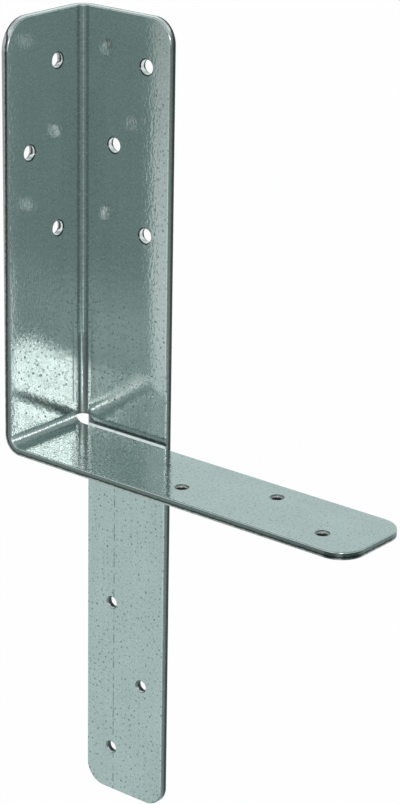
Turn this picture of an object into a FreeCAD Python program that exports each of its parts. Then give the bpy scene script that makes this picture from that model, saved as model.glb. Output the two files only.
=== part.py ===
import FreeCAD
import Part

import math
import os

from FreeCAD import Vector

# Purlin cleat, folded from one strip of galvanised steel sheet.
# The upper half of the strip is folded lengthwise into an upright angle with a left and a back flange.
# The lower half is slit in two. Below the left flange it is folded forward as the foot, and below the
# back flange it runs straight down as the tail, so the cleat ties a timber to the one it crosses.
#
# Frame, in millimetres: the origin is the inside corner where the planes of the left flange's face (x = 0),
# the back flange's face (y = 0) and the foot's top (z = 0) meet. X runs along the foot, Y points away from
# the timbers, through the back flange, and Z runs up the angle.

# Sheet and folds
SHEET = 2.5  # thickness of the galvanised sheet
FOLD_RADIUS = 2.5  # inside radius of the upright fold
FOOT_RADIUS = 3.6  # inside radius of the foot's fold

# Upright angle, measured from the inside corner
UPRIGHT_HEIGHT = 142.5
LEFT_FLANGE_WIDTH = 35.5
LEFT_FLANGE_CORNER = 10.0  # radius of the left flange's free top corner
BACK_FLANGE_WIDTH = 37.0
BACK_FLANGE_CORNER = 8.0  # radius of the back flange's free top corner

# Foot and tail, measured from the inside corner
FOOT_LENGTH = 137.5
FOOT_CORNER = 8.5  # radius of both corners at the foot's end
TAIL_LENGTH = 137.5
TAIL_CORNER = 7.5  # radius of both corners at the tail's end

# Slot between foot and tail: as wide as the upright fold, and a little wider on the foot's side
SLOT_TRIM = 0.9  # the foot's side is cut this much further than the upright fold's end
FOLD_LAND = 1.6  # the upright fold reaches this far past the foot's fold line

# Nail holes, staggered in two rows on every leg
UPRIGHT_HOLE = 5.0  # diameter in both flanges
STRIP_HOLE = 4.2  # diameter in the foot and the tail
EDGE_ROW = 10.0  # outer row, from the leg's free edge
INNER_ROW = 23.5  # inner row, from the leg's free edge
HOLE_END = 16.5  # first hole, from the leg's end
HOLE_PITCH = 28.0  # from hole to hole along the leg
HOLES_PER_LEG = 3

# What the shears and punches leave on the inside face
EDGE_ROLL = 0.4  # radius along the sheet's free edges
RIM_BEVEL = 0.3  # width of the bevel round every nail hole

X_AXIS = Vector(1, 0, 0)
Y_AXIS = Vector(0, 1, 0)
Z_AXIS = Vector(0, 0, 1)
FOLD_LINE = FOOT_RADIUS  # height at which the foot's fold starts
SLOT_SIDE = FOLD_RADIUS + SLOT_TRIM  # where the foot's side lies
SLOT_END = FOLD_LINE - FOLD_LAND  # height of the slot's end
TOLERANCE = 1e-6


def fold_section(across_axis, across, up_axis, up, radius):
    """Section of a square fold of this radius, whose two legs reach `across` and `up` from the inside corner."""

    def at(u, v):
        return across_axis * u + up_axis * v

    centre = at(radius, radius)
    halfway = at(-(0.5**0.5), -(0.5**0.5))
    inside = Part.Arc(at(0, radius), centre + halfway * radius, at(radius, 0))
    outside = Part.Arc(at(radius, -SHEET), centre + halfway * (radius + SHEET), at(-SHEET, radius))
    straights = [
        (at(radius, 0), at(across, 0)),
        (at(across, 0), at(across, -SHEET)),
        (at(across, -SHEET), at(radius, -SHEET)),
        (at(-SHEET, radius), at(-SHEET, up)),
        (at(-SHEET, up), at(0, up)),
        (at(0, up), at(0, radius)),
    ]
    edges = [Part.LineSegment(a, b).toShape() for a, b in straights if (b - a).Length > TOLERANCE]
    edges += [inside.toShape(), outside.toShape()]
    return Part.Face(Part.Wire(Part.__sortEdges__(edges)))


def depth(point, across_axis, up_axis, radius):
    """How far a point lies behind the inside face of a fold with these leg axes, 0 on that face."""
    short_across = max(radius - point.dot(across_axis), 0)
    short_up = max(radius - point.dot(up_axis), 0)
    return math.hypot(short_across, short_up) - radius


def rounded(piece, radius, corners):
    """The piece with its free corners at these points of the inside face rounded through the sheet."""
    through = []
    for edge in piece.Edges:
        crosses = isinstance(edge.Curve, Part.Line) and abs(edge.Length - SHEET) < TOLERANCE
        at_corner = any(v.Point.isEqual(c, TOLERANCE) for v in edge.Vertexes for c in corners)
        if crosses and at_corner:
            through.append(edge)
    return piece.makeFillet(radius, through)


def rolled(piece, across_axis, up_axis, radius):
    """The piece with the free edges of its inside face rolled over, but not the seams to its neighbours."""

    def on_inside(shape):
        return all(abs(depth(v.Point, across_axis, up_axis, radius)) < TOLERANCE for v in shape.Vertexes)

    def is_seam(edge):
        return all(SLOT_END - TOLERANCE < v.Z < FOLD_LINE + TOLERANCE for v in edge.Vertexes)

    edges = [e for f in piece.Faces if on_inside(f) for e in f.Edges]
    border = [e for e in edges if sum(e.isSame(other) for other in edges) == 1]
    return piece.makeFillet(EDGE_ROLL, [e for e in border if not is_seam(e)])


def upright_angle():
    """Both flanges and the fold between them, down to the slot's end."""
    angle = fold_section(X_AXIS, BACK_FLANGE_WIDTH, -Y_AXIS, LEFT_FLANGE_WIDTH, FOLD_RADIUS)
    angle.translate(Z_AXIS * FOLD_LINE)
    land = fold_section(X_AXIS, BACK_FLANGE_WIDTH, -Y_AXIS, SLOT_SIDE, FOLD_RADIUS)
    land.translate(Z_AXIS * SLOT_END)
    piece = angle.extrude(Z_AXIS * (UPRIGHT_HEIGHT - FOLD_LINE))
    piece = piece.fuse(land.extrude(Z_AXIS * FOLD_LAND)).removeSplitter().Solids[0]
    piece = rounded(piece, LEFT_FLANGE_CORNER, [Vector(0, -LEFT_FLANGE_WIDTH, UPRIGHT_HEIGHT)])
    piece = rounded(piece, BACK_FLANGE_CORNER, [Vector(BACK_FLANGE_WIDTH, 0, UPRIGHT_HEIGHT)])
    return rolled(piece, X_AXIS, -Y_AXIS, FOLD_RADIUS)


def foot():
    """The strip that folds forward from the left flange, clear of the tail by the slot."""
    section = fold_section(X_AXIS, FOOT_LENGTH, Z_AXIS, FOLD_LINE, FOOT_RADIUS)
    section.translate(-Y_AXIS * LEFT_FLANGE_WIDTH)
    piece = section.extrude(Y_AXIS * (LEFT_FLANGE_WIDTH - SLOT_SIDE))
    ends = [Vector(FOOT_LENGTH, -LEFT_FLANGE_WIDTH, 0), Vector(FOOT_LENGTH, -SLOT_SIDE, 0)]
    return rolled(rounded(piece, FOOT_CORNER, ends), X_AXIS, Z_AXIS, FOOT_RADIUS)


def tail():
    """The strip that runs straight down from the back flange."""
    width = BACK_FLANGE_WIDTH - FOLD_RADIUS
    piece = Part.makeBox(width, SHEET, TAIL_LENGTH + SLOT_END, Vector(FOLD_RADIUS, 0, -TAIL_LENGTH))
    ends = [Vector(FOLD_RADIUS, 0, -TAIL_LENGTH), Vector(BACK_FLANGE_WIDTH, 0, -TAIL_LENGTH)]
    return rolled(rounded(piece, TAIL_CORNER, ends), X_AXIS, -Y_AXIS, FOLD_RADIUS)


def nail_holes():
    """Diameter, centre on the inside face and axis of every nail hole, from each leg's end inwards."""
    holes = []
    for i in range(HOLES_PER_LEG):
        station = HOLE_END + HOLE_PITCH * i
        row, other_row = (INNER_ROW, EDGE_ROW) if i % 2 == 0 else (EDGE_ROW, INNER_ROW)
        left = Vector(0, row - LEFT_FLANGE_WIDTH, UPRIGHT_HEIGHT - station)
        back = Vector(BACK_FLANGE_WIDTH - other_row, 0, UPRIGHT_HEIGHT - station)
        on_foot = Vector(FOOT_LENGTH - station, other_row - LEFT_FLANGE_WIDTH, 0)
        on_tail = Vector(BACK_FLANGE_WIDTH - row, 0, station - TAIL_LENGTH)
        holes.append((UPRIGHT_HOLE, left, X_AXIS))
        holes.append((UPRIGHT_HOLE, back, -Y_AXIS))
        holes.append((STRIP_HOLE, on_foot, Z_AXIS))
        holes.append((STRIP_HOLE, on_tail, -Y_AXIS))
    return holes


def punched(sheet):
    """The sheet with every nail hole punched from the inside face, which bevels that face's rims."""
    holes = nail_holes()
    punches = [Part.makeCylinder(d / 2, 3 * SHEET, c - axis * (2 * SHEET), axis) for d, c, axis in holes]
    sheet = sheet.cut(punches).Solids[0]
    closed = [e for e in sheet.Edges if e.isClosed() and isinstance(e.Curve, Part.Circle)]
    rims = [e for e in closed if any(e.Curve.Center.isEqual(c, TOLERANCE) for d, c, axis in holes)]
    return sheet.makeChamfer(RIM_BEVEL, rims)


def main():
    """Writes the cleat as one solid."""
    os.makedirs("parts", exist_ok=True)
    sheet = upright_angle().multiFuse([foot(), tail()]).removeSplitter().Solids[0]
    cleat = punched(sheet).Solids[0]
    cleat.exportStep("parts/folded_cleat.step")
    print("valid", cleat.isValid(), "volume", round(cleat.Volume, 1), "faces", len(cleat.Faces))


main()
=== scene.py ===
"""Looks of the purlin cleat: its galvanised sheet and cut edges, a pale studio and the camera."""

from __future__ import annotations

import functools
import logging
import math
from dataclasses import dataclass
from enum import Enum
from typing import Any, Union

import bpy
from mathutils import Matrix, Vector

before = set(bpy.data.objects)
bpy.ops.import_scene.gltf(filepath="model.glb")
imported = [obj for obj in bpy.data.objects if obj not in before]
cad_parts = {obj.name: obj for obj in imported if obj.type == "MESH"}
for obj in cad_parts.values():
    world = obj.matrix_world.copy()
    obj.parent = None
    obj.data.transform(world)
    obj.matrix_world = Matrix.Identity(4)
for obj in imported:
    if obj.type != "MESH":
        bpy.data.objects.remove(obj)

LOG = logging.getLogger("purlin_cleat")
MM = 0.001
NOISE_ROUGHNESS = 0.55

Colour = tuple[float, float, float]
Point = tuple[float, float, float]
Span = tuple[float, float]  # where a smooth step is 0, and where it is 1
Band = tuple[Span, Span]  # the two smooth steps that bound a band
Value = Union["Wire", float]
Paint = Union["Wire", Colour]


class Ray(Enum):
    """The kinds of ray that the studio tells apart."""

    CAMERA = "Is Camera Ray"
    GLOSSY = "Is Glossy Ray"
    TRANSMISSION = "Is Transmission Ray"


class Leg(Enum):
    """The four legs of the folded strip."""

    LEFT = "left flange"
    BACK = "back flange"
    FOOT = "foot"
    TAIL = "tail"


class Wire:
    """An output socket of a shader tree, with operators that add Math nodes."""

    def __init__(self, bench: Bench, socket: bpy.types.NodeSocket) -> None:
        """Keeps the bench that adds nodes and the socket itself."""
        self.bench = bench
        self.socket = socket

    def __add__(self, other: Value) -> Wire:
        """self + other."""
        return self.bench.maths("ADD", self, other)

    __radd__ = __add__

    def __sub__(self, other: Value) -> Wire:
        """self - other."""
        return self.bench.maths("SUBTRACT", self, other)

    def __rsub__(self, other: Value) -> Wire:
        """other - self."""
        return self.bench.maths("SUBTRACT", other, self)

    def __mul__(self, other: Value) -> Wire:
        """self * other."""
        return self.bench.maths("MULTIPLY", self, other)

    __rmul__ = __mul__

    def __neg__(self) -> Wire:
        """-self."""
        return self.bench.maths("MULTIPLY", self, -1.0)

    def __abs__(self) -> Wire:
        """abs(self)."""
        return self.bench.maths("ABSOLUTE", self)

    def __gt__(self, other: Value) -> Wire:
        """1 where self is greater than other, else 0."""
        return self.bench.maths("GREATER_THAN", self, other)

    def __lt__(self, other: Value) -> Wire:
        """1 where self is less than other, else 0."""
        return self.bench.maths("LESS_THAN", self, other)

    def most(self, other: Value) -> Wire:
        """The greater of self and other."""
        return self.bench.maths("MAXIMUM", self, other)

    def least(self, other: Value) -> Wire:
        """The lesser of self and other."""
        return self.bench.maths("MINIMUM", self, other)

    def root(self) -> Wire:
        """The square root of self."""
        return self.bench.maths("SQRT", self)

    def ramp(self, start: float, end: float) -> Wire:
        """A smooth step.

        Args:
            start: where the step is 0.
            end: where the step is 1; it may be below start.

        Returns:
            The step's value, from 0 to 1.
        """
        flip = start > end
        low, high = (end, start) if flip else (start, end)
        step = self.bench.node(
            "ShaderNodeMapRange",
            {"interpolation_type": "SMOOTHSTEP"},
            {"Value": self, "From Min": low, "From Max": high},
        )
        return 1.0 - step if flip else step

    def band(self, rise: Span, fall: Span) -> Wire:
        """1 between two smooth steps, 0 outside them."""
        return self.ramp(*rise) * self.ramp(*fall)

    def other(self, output: str) -> Wire:
        """Another output of the same node."""
        return Wire(self.bench, self.socket.node.outputs[output])


class Bench:
    """Adds nodes to the shader tree of a material or a world."""

    def __init__(self, owner: bpy.types.Material | bpy.types.World) -> None:
        """Keeps the owner's tree, emptied.

        Args:
            owner: the material or world that the tree belongs to.
        """
        owner.use_nodes = True
        self.tree = owner.node_tree
        self.tree.nodes.clear()

    def add(
        self,
        kind: str,
        settings: dict[str, Any] | None = None,
        values: dict[str | int, Any] | None = None,
    ) -> bpy.types.Node:
        """Adds one node.

        Args:
            kind: the node's type.
            settings: its own settings, set first.
            values: values or links of its input sockets, by name or place.

        Returns:
            The node.
        """
        made = self.tree.nodes.new(kind)
        for name, setting in (settings or {}).items():
            setattr(made, name, setting)
        for name, value in (values or {}).items():
            self.feed(made.inputs[name], value)
        return made

    def node(
        self,
        kind: str,
        settings: dict[str, Any] | None = None,
        values: dict[str | int, Any] | None = None,
        output: str | int = 0,
    ) -> Wire:
        """Adds one node for the sake of one output.

        Args:
            kind: the node's type.
            settings: its own settings, set first.
            values: values or links of its input sockets, by name or place.
            output: the output that is wanted.

        Returns:
            The output as a wire.
        """
        return Wire(self, self.add(kind, settings, values).outputs[output])

    def feed(self, socket: bpy.types.NodeSocket, value: Any) -> None:
        """Links a wire to a socket or sets a plain value on it.

        Args:
            socket: the input to feed.
            value: a wire, a number, a colour or a vector.
        """
        if isinstance(value, Wire):
            self.tree.links.new(value.socket, socket)
        elif socket.type == "RGBA":
            socket.default_value = (*value, 1.0)
        else:
            socket.default_value = value

    def maths(self, operation: str, *values: Value) -> Wire:
        """Adds a Math node on these values."""
        return self.node("ShaderNodeMath", {"operation": operation}, dict(enumerate(values)))

    def blend(self, share: Value, low: Paint, high: Paint) -> Wire:
        """Mixes two colours.

        Args:
            share: how much of the second colour there is, from 0 to 1.
            low: the colour at share 0.
            high: the colour at share 1.

        Returns:
            The mixed colour.
        """
        # By place, because this node has sockets of the same name for numbers and vectors.
        return self.node("ShaderNodeMix", {"data_type": "RGBA"}, {0: share, 6: low, 7: high}, 2)

    def scaled(self, vector: Paint, amount: Value) -> Wire:
        """A colour or a point times a number."""
        values = {0: vector, "Scale": amount}
        return self.node("ShaderNodeVectorMath", {"operation": "SCALE"}, values)

    def point(self, x: Value, y: Value, z: Value) -> Wire:
        """A point from its three coordinates."""
        return self.node("ShaderNodeCombineXYZ", None, {"X": x, "Y": y, "Z": z})

    def apart(self, vector: Wire) -> tuple[Wire, Wire, Wire]:
        """The three coordinates of a point or a direction."""
        x = self.node("ShaderNodeSeparateXYZ", None, {"Vector": vector}, "X")
        return x, x.other("Y"), x.other("Z")

    def noise(self, where: Wire, size: float, detail: float = 2.0) -> Wire:
        """Cloudy noise from 0 to 1.

        Args:
            where: the point, in millimetres.
            size: how large its patches are, in millimetres.
            detail: how many finer layers it has.

        Returns:
            The noise's value.
        """
        return self.node(
            "ShaderNodeTexNoise",
            {"noise_dimensions": "3D"},
            {
                "Vector": where,
                "Scale": 1.0 / size,
                "Detail": detail,
                "Roughness": NOISE_ROUGHNESS,
            },
        )

    def ray(self, kind: Ray) -> Wire:
        """1 for rays of this kind, else 0."""
        return self.node("ShaderNodeLightPath", output=kind.value)

    def finish(self, output: str, surface: Wire) -> None:
        """Links the last shader to the tree's output node."""
        self.add(output, None, {"Surface": surface})


@dataclass(frozen=True)
class Spot:
    """Where a point lies on the folded strip, in millimetres, and 1 or 0 for what it lies on."""

    place: Wire
    x: Wire
    away: Wire  # in front of the back flange's inside face
    z: Wire
    depth: Wire  # behind the inside face
    across: Wire  # over the strip's width, round the upright fold
    along: Wire  # over the strip's length
    border: Wire  # to the nearest long edge
    hole: Wire  # to the wall of the nearest nail hole
    front: Wire  # on the inside face
    left: Wire  # on the left flange's inside face
    back: Wire  # on the inside face of the back flange and the tail
    low: Wire  # on the foot or the tail
    tail: Wire  # on the tail, under the foot

    def drawn(self, stretch: float) -> Wire:
        """The point on the flat strip, its length scaled so that patterns are drawn out."""
        return self.x.bench.point(self.across, self.along * stretch, self.depth)


@dataclass(frozen=True)
class CutEdge:
    """Finish of a sheared edge or punched wall, by depth from the inside face in millimetres, with
    a painted highlight on some cuts.

    The cut is burnished down to a depth and torn below it. Where it says sooner or later, a part
    of the cut tears that much nearer to the inside face or deeper.
    """

    burnish: Colour = (0.155, 0.20, 0.188)
    # painted highlight: a lit copy of the burnish, also used for the bright line beside the slot
    bright: Colour = (0.80, 0.84, 0.83)
    fracture: Colour = (0.045, 0.06, 0.056)
    lip: Colour = (0.42, 0.44, 0.425)
    roughness: float = 0.16
    starts: Span = (0.23, 0.45)
    ends: Span = (0.05, 0.2)  # from the outside face
    torn_from: float = 1.4
    torn_soft: Span = (-0.15, 0.15)
    torn_deep: float = 0.6
    lip_soft: Span = (-0.12, 0.18)
    ragged: float = 0.7
    ragged_size: float = 0.9
    top_later: float = 0.5
    wall_later: float = 0.3
    strip_sooner: float = 0.75
    strip_lip_later: float = 2.0
    left_within: float = 0.2  # the left flange's front edge lies left of this
    left_above: float = 3.0  # and above this
    left_sooner: float = 0.0085  # for each millimetre of height
    left_lip_later: float = 0.3
    right_past: float = 30.0  # the right edge of back flange and tail lies past this
    right_within: float = 1.0  # and this near to their plane
    right_sooner: float = 0.2
    right_lip_later: float = 1.0
    slot_from: float = 3.0  # the foot's side along the slot lies between these two
    slot_to: float = 4.0

    def mask(self, spot: Spot, thickness: float) -> Wire:
        """1 on a cut face, 0 on both faces of the sheet."""
        start, full = self.ends
        return spot.depth.band(self.starts, (thickness - start, thickness - full))

    def colour(self, bench: Bench, spot: Spot, up: Wire, wall: Wire) -> Wire:
        """Colour through the cut: burnished, torn, a smeared lip of zinc at the far face, and a
        painted highlight.

        Args:
            bench: adds the nodes.
            spot: the point on the strip.
            up: 1 where the cut faces up.
            wall: 1 in a punched hole.

        Returns:
            The colour.
        """
        left = (spot.x < self.left_within) * (spot.z > self.left_above) * (1.0 - up)
        right = (spot.x > self.right_past) * (spot.away < self.right_within)
        slot = spot.low * (spot.away < self.slot_to) * (spot.away > self.slot_from)
        strip = wall * spot.low
        level = spot.depth + self.ragged * (bench.noise(spot.place, self.ragged_size) - 0.5)
        level = level - self.torn_from + self.left_sooner * left * spot.z
        level = level + self.right_sooner * right + self.strip_sooner * strip
        level = level - self.top_later * up * (1.0 - strip) - self.wall_later * wall
        later = self.left_lip_later * left + self.right_lip_later * right
        later = later + self.strip_lip_later * strip
        torn = level.ramp(*self.torn_soft)
        past = (level - self.torn_deep - later).ramp(*self.lip_soft)
        # painted highlight: cuts that face up, the foot's side along the slot and hole walls above
        # the tail
        highlighted = up.most(slot).most(wall * (1.0 - spot.tail))
        smooth = bench.blend(highlighted, self.burnish, self.bright)
        return bench.blend(past, bench.blend(torn, smooth, self.fracture), self.lip)


@dataclass(frozen=True)
class ZincMarks:
    """Pits, the line that the rolls scored, and a faint dark line low on the left flange, in
    millimetres.
    """

    pit_cell: float = 2.1
    pit_missing: float = 0.2  # share of the cells that have no pit
    pit_radius: float = 0.15
    pit_spread: float = 0.27
    pit_soft: Span = (0.12, -0.08)
    pit_least: float = 0.35
    pit_more: float = 0.6
    foot_past: float = 38.0  # the foot alone reaches past this
    foot_fainter: float = 0.5
    score_line: float = 14.6
    score_side: Span = (0.34, 0.12)
    score_dash: float = 3.2
    score_gap: Span = (0.44, 0.56)
    score_strength: float = 0.85
    dark_line_at: float = 4.6
    dark_line_side: Span = (0.55, 0.2)
    dark_line_reach: Band = ((6.0, 8.0), (45.0, 30.0))
    dark_line_strength: float = 0.6

    def pits(self, bench: Bench, spot: Spot) -> Wire:
        """Small dark pits in the zinc, scattered over the sheet and fainter on the foot.

        Args:
            bench: adds the nodes.
            spot: the point on the strip.

        Returns:
            Up to 1 in the middle of a deep pit, 0 away from it.
        """
        cell = bench.node(
            "ShaderNodeTexVoronoi",
            {"voronoi_dimensions": "2D"},
            {
                "Vector": bench.point(spot.across, spot.along, 0.0),
                "Scale": 1.0 / self.pit_cell,
                "Randomness": 1.0,
            },
            "Distance",
        )
        lot = bench.node("ShaderNodeSeparateColor", None, {"Color": cell.other("Color")})
        deep = lot.other("Blue") * lot.other("Blue")
        radius = self.pit_radius + self.pit_spread * lot.other("Green")
        fainter = 1.0 - self.foot_fainter * (spot.x > self.foot_past)
        strength = (lot > self.pit_missing) * fainter * (self.pit_least + self.pit_more * deep)
        return strength * (self.pit_cell * cell - radius).ramp(*self.pit_soft)

    def score(self, bench: Bench, spot: Spot) -> Wire:
        """The broken line that the rolls scored along the tail.

        Args:
            bench: adds the nodes.
            spot: the point on the strip.

        Returns:
            Its strength on the line, 0 beside it.
        """
        line = abs(spot.x - self.score_line).ramp(*self.score_side) * spot.back * (spot.z < 0.0)
        broken = bench.noise(bench.point(0.0, 0.0, spot.z), self.score_dash, detail=1.0)
        return self.score_strength * line * broken.ramp(*self.score_gap)

    def dark_line(self, spot: Spot) -> Wire:
        """A faint dark line low on the left flange, beside the upright fold."""
        line = abs(spot.away - self.dark_line_at).ramp(*self.dark_line_side)
        return self.dark_line_strength * line * spot.left * spot.z.band(*self.dark_line_reach)


@dataclass(frozen=True)
class FoldWear:
    """What folding the sheet left on its zinc, and painted shade in and beside the upright fold.
    Lengths in millimetres.
    """

    dull_top: Span = (32.0, 29.0)
    dull_in: float = 0.5
    # painted shade on the fold's lower end
    fold_shade_strength: float = 0.45
    dull_rough: float = 0.3
    nose_aside: float = 0.4
    nose_side: Span = (0.5, 0.3)
    nose_least: float = 0.2
    nose_rise: Span = (3.5, 11.0)
    foot_in: float = 0.6
    foot_above: float = -3.0
    foot_rough: float = 0.07
    # painted shade along both sides of the upright fold
    side_shade_band: Band = ((1.2, 1.6), (2.9, 2.5))
    side_shade_above: float = 4.0
    side_shade_strength: float = 0.2

    def upright(self, spot: Spot, sheet: Cleat) -> Wire:
        """Lower end of the upright fold: duller where the zinc is stretched most, and darkened
        there as painted shade.

        Args:
            spot: the point on the strip.
            sheet: the cleat whose fold is meant.

        Returns:
            1 on the fold's lower end, 0 elsewhere.
        """
        start, full = sheet.fold_radius, sheet.fold_radius - self.dull_in
        inside = spot.x.ramp(start, full) * spot.away.ramp(start, full)
        return inside * spot.z.ramp(*self.dull_top) * spot.front * (1.0 - self.nose(spot))

    def nose(self, spot: Spot) -> Wire:
        """The thin line that the folding tool's nose burnished along the upright fold."""
        line = abs(spot.x - spot.away + self.nose_aside).ramp(*self.nose_side)
        return line * (self.nose_least + (1.0 - self.nose_least) * spot.z.ramp(*self.nose_rise))

    def foot(self, spot: Spot, sheet: Cleat) -> Wire:
        """The foot's fold, where the zinc is a little duller.

        Args:
            spot: the point on the strip.
            sheet: the cleat whose fold is meant.

        Returns:
            1 on the fold, 0 elsewhere.
        """
        start, full = sheet.foot_radius, sheet.foot_radius - self.foot_in
        inside = spot.x.ramp(start, full) * spot.z.ramp(start, full) * spot.front
        return inside * (spot.z > self.foot_above) * (spot.away > sheet.fold_radius)

    def side_shade(self, spot: Spot) -> Wire:
        """1 on the two lines of painted shade where the upright fold meets the flanges, else 0."""
        side = abs(spot.x - spot.away).band(*self.side_shade_band)
        return spot.front * side * (spot.z > self.side_shade_above)


@dataclass(frozen=True)
class CornerStand:
    """How far the flanges are out of true beside the inside corner, as turns of the normal.

    The left flange leans, and the back flange bows and is pinched along the fold. Lengths are in
    millimetres, turns in radians.
    """

    lean: float = -0.032
    lean_beside: float = 0.6
    lean_above: float = 2.0
    lean_least: float = 0.25
    lean_low: Span = (75.0, 50.0)
    bow: float = -0.030
    bow_across: Band = ((2.5, 3.1), (34.0, 29.0))
    bow_reach: Band = ((4.0, 6.0), (60.0, 30.0))
    bow_more: float = 0.7
    bow_grows: Span = (12.0, 26.0)
    pinch: float = -0.036
    pinch_across: Band = ((2.4, 2.8), (4.0, 3.6))
    pinch_reach: Band = ((4.0, 6.0), (48.0, 25.0))

    def normal(self, bench: Bench, spot: Spot, sheet: Cleat, square: Wire) -> Wire:
        """Turns the normal of the square sheet.

        Args:
            bench: adds the nodes.
            spot: the point on the strip.
            sheet: the cleat whose folds bound the flanges.
            square: the mesh's own normal.

        Returns:
            The turned normal.
        """
        facing_x, facing_y, _ = bench.apart(square)
        fold, foot = sheet.fold_radius, sheet.foot_radius
        flange = facing_x * spot.away.ramp(fold, fold + self.lean_beside)
        flange = flange * spot.z.ramp(foot, foot + self.lean_above)
        low = self.lean_least + (1.0 - self.lean_least) * spot.z.ramp(*self.lean_low)
        bowed = -facing_y * spot.front * spot.x.band(*self.bow_across)
        bowed = bowed * spot.z.band(*self.bow_reach)
        bowed = bowed * (1.0 + self.bow_more * spot.x.ramp(*self.bow_grows))
        pinched = spot.back * spot.x.band(*self.pinch_across) * spot.z.band(*self.pinch_reach)
        turn = bench.point(self.pinch * pinched, self.lean * flange * low, self.bow * bowed)
        return bench.node("ShaderNodeVectorMath", {"operation": "ADD"}, {0: square, 1: turn})


@dataclass(frozen=True)
class CornerPatch:
    """A patch with soft sides on the back flange, beside the inside corner, in millimetres."""

    strength: float
    across: Span
    reach: Band

    def share(self, spot: Spot) -> Wire:
        """The patch's strength inside it, 0 outside it."""
        patch = spot.back * spot.x.ramp(*self.across) * spot.z.band(*self.reach)
        return self.strength * patch


@dataclass(frozen=True)
class Masks:
    """What the sheet shows at a point, each from 0 to 1."""

    grain: Wire
    pits: Wire
    marks: Wire  # pits and lines together
    cut: Wire  # a sheared edge or the wall of a hole
    wall: Wire  # the wall of a hole
    # where the painted shade round a hole goes
    rim_shade: Wire  # round a hole
    # rougher, and darkened as painted shade
    dull_and_shaded: Wire  # the upright fold's dulled end
    up: Wire  # facing up


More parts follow.
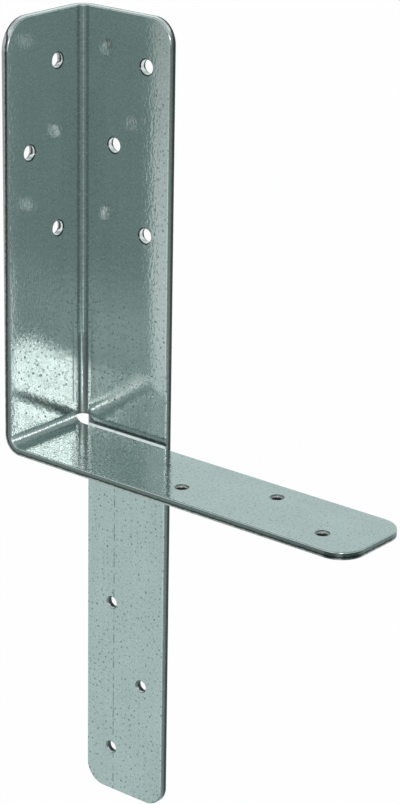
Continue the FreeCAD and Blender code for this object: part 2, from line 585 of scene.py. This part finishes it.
@dataclass(frozen=True)
class GalvanisedSheet:
    """Finish of the zinc-coated sheet, its sheared edges and its holes, with painted highlights and
    painted shade. Lengths in millimetres.
    """

    zinc: Colour = (0.44, 0.53, 0.515)
    # painted highlight along the free edges, lighter than the zinc
    edge_highlight: Colour = (0.60, 0.69, 0.675)
    pit: Colour = (0.17, 0.215, 0.21)
    # painted shade: near black round the holes, and the dark line above the slot's bright line
    rim_shade: Colour = (0.02, 0.03, 0.028)
    metallic: float = 0.84
    marks_less_metal: float = 0.9
    roughness: float = 0.09
    rough_cloud: float = 0.03
    rough_size: float = 9.0
    rough_marks: float = 0.12
    rough_wall: float = 0.35  # in the foot's holes
    grain_size: float = 0.42
    grain_stretch: float = 0.55
    grain_shade: float = 0.7
    grain_depth: float = 0.001
    cloud_size: float = 14.0
    cloud_shade: float = 0.16
    streak_size: float = 1.3
    streak_stretch: float = 0.02
    streak_shade: float = 0.16
    peel_size: float = 0.95
    peel_stretch: float = 0.45
    peel_depth: float = 0.040
    pit_depth: float = 0.01
    up_slope: Span = (0.3, 0.7)
    edge_highlight_side: Band = ((0.2, 0.45), (0.8, 0.55))
    edge_highlight_past: float = 0.2
    wall_side: Span = (0.06, 0.02)
    rim_side: Span = (0.42, 0.28)
    rim_depth: Span = (1.0, 0.6)
    rim_low_less: float = 0.35
    rim_tail_less: float = 0.4
    slot_past: float = 3.0
    # a bright line of painted reflection across the tail, and a dark line of painted shade above it
    slot_glint: Band = ((-2.3, -1.9), (-0.75, -1.1))
    slot_shadow: Band = ((-1.1, -0.75), (0.15, -0.1))
    slot_shadow_strength: float = 0.7
    edge: CutEdge = CutEdge()
    marks: ZincMarks = ZincMarks()
    folds: FoldWear = FoldWear()
    stand: CornerStand = CornerStand()
    soft: CornerPatch = CornerPatch(0.035, (31.0, 26.0), ((0.0, 2.0), (28.0, 18.0)))
    calm: CornerPatch = CornerPatch(0.45, (30.0, 26.0), ((4.0, 6.0), (70.0, 45.0)))

    def material(self, name: str, sheet: Cleat) -> bpy.types.Material:
        """Builds the finish.

        Args:
            name: the material's name.
            sheet: the cleat whose sizes place the marks and the cut edges.

        Returns:
            The material.
        """
        made = bpy.data.materials.new(name)
        bench = Bench(made)
        spot = sheet.spot(bench)
        square = bench.node("ShaderNodeNewGeometry", output="Normal")
        masks = self.masks(bench, spot, sheet, square)
        bumpy = bench.node(
            "ShaderNodeBump",
            None,
            {
                "Strength": 1.0,
                "Distance": MM,
                "Height": self.height(bench, spot, masks),
                "Normal": self.stand.normal(bench, spot, sheet, square),
            },
        )
        surface = bench.node(
            "ShaderNodeBsdfPrincipled",
            None,
            {
                "Base Color": self.colour(bench, spot, masks),
                "Metallic": self.metal(masks),
                "Roughness": self.rough(bench, spot, masks, sheet),
                "Normal": bumpy,
            },
        )
        bench.finish("ShaderNodeOutputMaterial", surface)
        return made

    def masks(self, bench: Bench, spot: Spot, sheet: Cleat, square: Wire) -> Masks:
        """Works out what the sheet shows at a point.

        Args:
            bench: adds the nodes.
            spot: the point on the strip.
            sheet: the cleat whose sizes place the folds.
            square: the mesh's own normal.

        Returns:
            The masks.
        """
        pits = self.marks.pits(bench, spot)
        lines = self.marks.score(bench, spot).most(self.marks.dark_line(spot))
        # painted shade round the holes, weaker on the foot and the tail
        rim_shade = spot.hole.ramp(*self.rim_side) * spot.depth.ramp(*self.rim_depth)
        rim_shade = rim_shade * (1.0 - self.rim_low_less * spot.low - self.rim_tail_less * spot.tail)
        _, _, facing_z = bench.apart(square)
        return Masks(
            grain=bench.noise(spot.drawn(self.grain_stretch), self.grain_size, detail=1.0),
            pits=pits,
            marks=pits.most(lines),
            cut=self.edge.mask(spot, sheet.thickness),
            wall=spot.hole.ramp(*self.wall_side),
            rim_shade=rim_shade,
            dull_and_shaded=self.folds.upright(spot, sheet),
            up=facing_z.ramp(*self.up_slope),
        )

    def colour(self, bench: Bench, spot: Spot, masks: Masks) -> Wire:
        """Colour of the zinc, its marks and its cut edges, with painted highlights and painted
        shade.

        Args:
            bench: adds the nodes.
            spot: the point on the strip.
            masks: what the sheet shows there.

        Returns:
            The colour.
        """
        # painted shade darkens the upright fold's lower end and the lines along its sides
        shade = self.shade(bench, spot, masks.grain) * (1.0 - self.folds.fold_shade_strength * masks.dull_and_shaded)
        # painted highlight in a thin band along the free edges
        edge_glint = spot.border.band(*self.edge_highlight_side) * (spot.x > self.edge_highlight_past)
        skin = bench.blend(edge_glint, bench.scaled(self.zinc, shade), self.edge_highlight)
        skin = bench.blend(masks.marks, skin, self.pit)
        # painted shade round the holes
        skin = bench.blend(masks.rim_shade, skin, self.rim_shade)
        skin = self.beside_slot(bench, spot, skin)
        return bench.blend(masks.cut, skin, self.edge.colour(bench, spot, masks.up, masks.wall))

    def shade(self, bench: Bench, spot: Spot, grain: Wire) -> Wire:
        """Lightness of the zinc, around 1, with painted shade along the upright fold's sides.

        Args:
            bench: adds the nodes.
            spot: the point on the strip.
            grain: the fine grain from 0 to 1.

        Returns:
            The factor on the zinc's colour.
        """
        cloud = bench.noise(spot.place, self.cloud_size) - 0.5
        lengthwise = bench.point(spot.across, spot.along * self.streak_stretch, 0.0)
        streak = bench.noise(lengthwise, self.streak_size) - 0.5
        even = 1.0 + self.cloud_shade * cloud + self.streak_shade * streak
        even = even + self.grain_shade * (grain - 0.5)
        # painted shade along the upright fold's sides
        return even * (1.0 - self.folds.side_shade_strength * self.folds.side_shade(spot))

    def beside_slot(self, bench: Bench, spot: Spot, skin: Wire) -> Wire:
        """Paints a bright line of painted reflection across the tail beside the slot, with a dark
        line of painted shade above it.

        Args:
            bench: adds the nodes.
            spot: the point on the strip.
            skin: the zinc's colour.

        Returns:
            The colour with both lines.
        """
        beside = spot.back * (spot.x > self.slot_past)
        # painted reflection: the bright line across the tail beside the slot
        glint = beside * spot.z.band(*self.slot_glint)
        # painted shade: the dark line above it
        shadow = self.slot_shadow_strength * beside * spot.z.band(*self.slot_shadow)
        return bench.blend(shadow, bench.blend(glint, skin, self.edge.bright), self.rim_shade)

    def rough(self, bench: Bench, spot: Spot, masks: Masks, sheet: Cleat) -> Wire:
        """Roughness of the zinc, its marks, its folds and its cut edges.

        Args:
            bench: adds the nodes.
            spot: the point on the strip.
            masks: what the sheet shows there.
            sheet: the cleat whose sizes place the folds.

        Returns:
            The roughness.
        """
        skin = self.roughness + self.rough_cloud * bench.noise(spot.place, self.rough_size)
        skin = skin + self.rough_marks * masks.marks + self.soft.share(spot)
        folds = self.folds.dull_rough * masks.dull_and_shaded
        folds = folds + self.folds.foot_rough * self.folds.foot(spot, sheet)
        edges = self.edge.roughness * masks.cut
        edges = edges + self.rough_wall * masks.wall * spot.low * (1.0 - spot.tail)
        return skin + folds + edges

    def metal(self, masks: Masks) -> Wire:
        """How metallic the sheet is: less in its marks, fully on cuts and rims."""
        skin = self.metallic * (1.0 - self.marks_less_metal * masks.marks)
        return skin + (1.0 - skin) * masks.cut.most(masks.rim_shade)

    def height(self, bench: Bench, spot: Spot, masks: Masks) -> Wire:
        """Height of the grain, the soft peel and the pits.

        Args:
            bench: adds the nodes.
            spot: the point on the strip.
            masks: what the sheet shows there.

        Returns:
            The height.
        """
        peel = bench.noise(spot.drawn(self.peel_stretch), self.peel_size, detail=1.0)
        peel = self.peel_depth * peel * (1.0 - self.calm.share(spot))
        return self.grain_depth * masks.grain + peel - self.pit_depth * masks.pits


@dataclass
class Cleat:
    """The folded strip: two flanges, foot and tail in one sheet. Sizes in millimetres."""

    node: str = "folded_cleat"
    slot: str = "galvanised_sheet"
    thickness: float = 2.5
    fold_radius: float = 2.5
    foot_radius: float = 3.6
    slot_side: float = 3.4
    upright_height: float = 142.5
    left_width: float = 35.5
    back_width: float = 37.0
    foot_length: float = 137.5
    tail_length: float = 137.5
    upright_hole: float = 5.0
    strip_hole: float = 4.2
    edge_row: float = 10.0
    inner_row: float = 23.5
    hole_end: float = 16.5
    hole_pitch: float = 28.0
    holes_per_leg: int = 3
    slack: float = 0.05  # the foot's side counts as the foot's by this much
    front_depth: float = 1.0  # less deep than this is the inside face
    near: float = 0.5  # this close to a leg's plane is on that leg
    foot_top: float = 0.1  # foot and tail lie under this height
    under_foot: float = -5.0  # only the tail lies under this height
    finish: GalvanisedSheet = GalvanisedSheet()

    def spot(self, bench: Bench) -> Spot:
        """Coordinates on the strip for the finish.

        Args:
            bench: adds the nodes.

        Returns:
            The point, its depth behind the inside face and its place across and along the strip.
        """
        inside = bench.node("ShaderNodeTexCoord", output="Object")
        place = bench.scaled(inside, 1.0 / MM)
        x, y, z = bench.apart(place)
        away = -y
        on_foot = (z < self.foot_radius) * (away > self.slot_side - self.slack)
        upright = 1.0 - on_foot
        depth = self.behind(x, away, self.fold_radius) * upright
        depth = depth + self.behind(x, z, self.foot_radius) * on_foot
        front = depth < self.front_depth
        return Spot(
            place=place,
            x=x,
            away=away,
            z=z,
            depth=depth,
            across=away + x * upright,
            along=z * upright + x * on_foot,
            border=(self.left_width - away).least(self.back_width - x + self.foot_length * on_foot),
            hole=self.to_hole(bench, x, away, z),
            front=front,
            left=front * (x < self.near),
            back=front * (away < self.near),
            low=z < self.foot_top,
            tail=z < self.under_foot,
        )

    def behind(self, one: Wire, other: Wire, radius: float) -> Wire:
        """Depth behind the inside face of a square fold.

        Args:
            one: distance from one leg's plane.
            other: distance from the other leg's plane.
            radius: the fold's inside radius.

        Returns:
            The depth, 0 on the inside face.
        """
        short, short_too = (radius - one).most(0.0), (radius - other).most(0.0)
        return (short * short + short_too * short_too).root() - radius

    def holes(self) -> list[tuple[Leg, float, Vector]]:
        """Lists the nail holes.

        Returns:
            Each hole's leg, radius and centre, the centre flattened along the hole's axis.
        """
        wide, narrow = self.upright_hole / 2, self.strip_hole / 2
        found = []
        for i in range(self.holes_per_leg):
            station = self.hole_end + self.hole_pitch * i
            row, other = self.inner_row, self.edge_row
            if i % 2:
                row, other = other, row
            height, low = self.upright_height - station, station - self.tail_length
            reach = self.foot_length - station
            found += [
                (Leg.LEFT, wide, Vector((0.0, self.left_width - row, height))),
                (Leg.BACK, wide, Vector((self.back_width - other, 0.0, height))),
                (Leg.FOOT, narrow, Vector((reach, self.left_width - other, 0.0))),
                (Leg.TAIL, narrow, Vector((self.back_width - row, 0.0, low))),
            ]
        return found

    def to_hole(self, bench: Bench, x: Wire, away: Wire, z: Wire) -> Wire:
        """Distance to the wall of the nearest nail hole.

        Args:
            bench: adds the nodes.
            x: place along the foot.
            away: place in front of the back flange.
            z: height.

        Returns:
            The distance, below 0 inside the hole's circle.
        """
        flat = {
            Leg.LEFT: bench.point(0.0, away, z),
            Leg.BACK: bench.point(x, 0.0, z),
            Leg.FOOT: bench.point(x, away, 0.0),
        }
        flat[Leg.TAIL] = flat[Leg.BACK]
        gaps = []
        for leg, radius, centre in self.holes():
            ends = {0: flat[leg], 1: centre}
            span = bench.node("ShaderNodeVectorMath", {"operation": "DISTANCE"}, ends, "Value")
            gaps.append(span - radius)
        return functools.reduce(Wire.least, gaps)

    def dress(self) -> bpy.types.Object:
        """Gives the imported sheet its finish.

        Returns:
            The cleat's object.
        """
        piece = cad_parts[self.node]
        piece.data.materials.clear()
        piece.data.materials.append(self.finish.material(self.slot, self))
        return piece


@dataclass(frozen=True)
class SoftLamp:
    """A rectangular lamp. Sizes in metres, power in watts."""

    name: str
    width: float
    height: float
    power: float
    colour: Colour = (1.0, 1.0, 1.0)

    def build(self, stand: Matrix) -> bpy.types.Object:
        """Makes the lamp.

        Args:
            stand: where the lamp stands; it shines along the stand's -Z.

        Returns:
            The lamp's object.
        """
        data = bpy.data.lights.new(self.name, "AREA")
        data.shape = "RECTANGLE"
        data.size, data.size_y = self.width, self.height
        data.energy = self.power
        data.color = self.colour
        lamp = bpy.data.objects.new(self.name, data)
        lamp.matrix_world = stand
        lamp.visible_camera = False
        bpy.context.scene.collection.objects.link(lamp)
        return lamp


@dataclass
class Studio:
    """Pale floor, room light and three soft lamps.

    Sizes are in metres. Turns are in degrees round the cleat, from straight in front of the back
    flange to the right.
    """

    floor_height: float = -0.20
    floor_half: float = 3.0
    pale: Colour = (0.83, 0.90, 0.895)
    warm: Colour = (0.98, 0.975, 0.95)
    dim: Colour = (0.20, 0.25, 0.245)
    room: Colour = (0.66, 0.80, 0.79)
    white: Colour = (1.0, 1.0, 1.0)
    show_share: float = 0.985
    mirror_share: float = 0.5
    ceiling_way: Span = (0.5, 0.8)
    ceiling_dim: float = 0.55
    front_way: Span = (-0.2, -0.6)
    front_turn: Band = ((-28.0, -6.0), (135.0, 100.0))
    lane_turn: Band = ((28.0, 36.0), (56.0, 46.0))
    lane_far: float = 0.34
    near: Span = (0.95, 0.58)
    warm_from: Span = (0.5, 0.68)
    far: Span = (0.65, 1.6)
    far_dim: float = 0.43
    key: SoftLamp = SoftLamp("key_lamp", 0.168, 0.17, 1.18, (1.0, 0.69, 0.71))
    key_aside: float = 0.076
    fill: SoftLamp = SoftLamp("fill_lamp", 0.26, 0.26, 0.04)
    fill_aside: float = -0.16
    side: SoftLamp = SoftLamp("side_lamp", 0.25, 0.25, 0.4)
    side_place: Point = (0.852, -0.397, 0.342)

    def mirrored(self, bench: Bench) -> Wire:
        """1 for rays that come from metal or glass, else 0."""
        return bench.ray(Ray.GLOSSY).most(bench.ray(Ray.TRANSMISSION))

    def build_room(self) -> bpy.types.World:
        """Makes the room's light: white for the camera, and dimmer overhead for all else.

        Returns:
            The world.
        """
        world = bpy.data.worlds.new("studio_room")
        bench = Bench(world)
        _, y, z = bench.apart(bench.node("ShaderNodeTexCoord", output="Generated"))
        front, seen = y.ramp(*self.front_way), bench.ray(Ray.CAMERA)
        white = seen.most(self.mirrored(bench) * self.mirror_share)
        white = white.most(front * bench.ray(Ray.GLOSSY))
        overhead = z.ramp(*self.ceiling_way) * (1.0 - seen.most(front))
        level = 1.0 - self.ceiling_dim * overhead
        colour = bench.scaled(bench.blend(white, self.room, self.white), level)
        light = bench.node("ShaderNodeBackground", None, {"Color": colour})
        bench.finish("ShaderNodeOutputWorld", light)
        bpy.context.scene.world = world
        return world

    def build_floor(self) -> bpy.types.Object:
        """Makes the pale floor.

        Returns:
            The floor's object.
        """
        half = self.floor_half
        mesh = bpy.data.meshes.new("studio_floor")
        corners = [(-half, -half, 0), (half, -half, 0), (half, half, 0), (-half, half, 0)]
        mesh.from_pydata(corners, [], [(0, 1, 2, 3)])
        floor = bpy.data.objects.new("studio_floor", mesh)
        floor.location.z = self.floor_height
        bpy.context.scene.collection.objects.link(floor)
        mesh.materials.append(self.floor_material())
        return floor

    def floor_material(self) -> bpy.types.Material:
        """Builds the floor's finish: white for the camera, and in mirrors dimmer in front.

        Returns:
            The material.
        """
        made = bpy.data.materials.new("studio_floor")
        bench = Bench(made)
        seen = bench.ray(Ray.CAMERA)
        share = (seen * self.show_share).most(self.mirrored(bench))
        colour = bench.blend(seen, self.floor_sheen(bench), self.white)
        lit = bench.node("ShaderNodeBsdfDiffuse", None, {"Color": self.pale})
        glow = bench.node("ShaderNodeEmission", None, {"Color": colour, "Strength": 1.0})
        floor = bench.node("ShaderNodeMixShader", None, {0: share, 1: lit, 2: glow})
        bench.finish("ShaderNodeOutputMaterial", floor)
        return made

    def floor_sheen(self, bench: Bench) -> Wire:
        """The floor as the metal mirrors it: dim in front but for a pale lane, warm on the left.

        Args:
            bench: adds the nodes.

        Returns:
            The colour.
        """
        x, y, _ = bench.apart(bench.node("ShaderNodeTexCoord", output="Object"))
        turn = bench.maths("DEGREES", bench.maths("ARCTAN2", x, -y))
        reach = (x * x + y * y).root()
        near = reach.ramp(*self.near)
        lane = turn.band(*self.lane_turn) * near.most(self.lane_far)
        front = bench.blend(lane, self.dim, bench.blend(near, self.pale, self.white))
        left = bench.blend(reach.ramp(*self.warm_from), self.pale, self.warm)
        left = bench.scaled(left, 1.0 - self.far_dim * reach.ramp(*self.far))
        return bench.blend(turn.band(*self.front_turn), left, front)

    def build_lamps(self, camera: bpy.types.Object) -> list[bpy.types.Object]:
        """Makes the two lamps beside the camera and the one on the right.

        Args:
            camera: the camera that two of the lamps stand beside.

        Returns:
            The lamps' objects.
        """
        stand = camera.matrix_world
        place = Vector(self.side_place)
        aimed = Matrix.Translation(place) @ place.to_track_quat("Z", "Y").to_matrix().to_4x4()
        return [
            self.key.build(stand @ Matrix.Translation((self.key_aside, 0.0, 0.0))),
            self.fill.build(stand @ Matrix.Translation((self.fill_aside, 0.0, 0.0))),
            self.side.build(aimed),
        ]


@dataclass
class Viewpoint:
    """The camera, turned about the frame's origin. Lengths in metres, angles in degrees."""

    azimuth: float = 38.905
    elevation: float = 20.461
    roll: float = 0.997
    distance: float = 0.904213
    aside: float = -0.040014
    above: float = -0.005350
    focal: float = 2655.956  # in pixels of the picture
    picture_height: float = 804.0
    sensor: float = 36.0

    def build(self) -> bpy.types.Object:
        """Makes the camera and sets it as the scene's own.

        Returns:
            The camera's object.
        """
        az, el, roll = (math.radians(a) for a in (self.azimuth, self.elevation, self.roll))
        back = Vector((math.sin(az) * math.cos(el), -math.cos(az) * math.cos(el), math.sin(el)))
        level = Vector((math.cos(az), math.sin(az), 0.0))
        upright = back.cross(level)
        right = level * math.cos(roll) + upright * math.sin(roll)
        up = upright * math.cos(roll) - level * math.sin(roll)
        data = bpy.data.cameras.new("camera")
        data.sensor_width = self.sensor
        data.lens = self.focal * self.sensor / self.picture_height
        camera = bpy.data.objects.new("camera", data)
        axes = Matrix((right, up, back)).transposed()
        camera.matrix_world = axes.to_4x4()
        camera.location = back * self.distance - right * self.aside - up * self.above
        bpy.context.scene.collection.objects.link(camera)
        bpy.context.scene.camera = camera
        bpy.context.view_layer.update()
        return camera


def main() -> None:
    """Builds the camera, the studio and the cleat, and reports each."""
    logging.basicConfig(level=logging.INFO, format="%(message)s")
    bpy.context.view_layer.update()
    bpy.context.scene.view_settings.view_transform = "Standard"
    camera = Viewpoint().build()
    LOG.info("camera: %s", camera.name)
    studio = Studio()
    LOG.info("room: %s", studio.build_room().name)
    LOG.info("floor: %s", studio.build_floor().name)
    for lamp in studio.build_lamps(camera):
        LOG.info("lamp: %s", lamp.name)
    LOG.info("piece: %s", Cleat().dress().name)


if __name__ == "__main__":
    main()
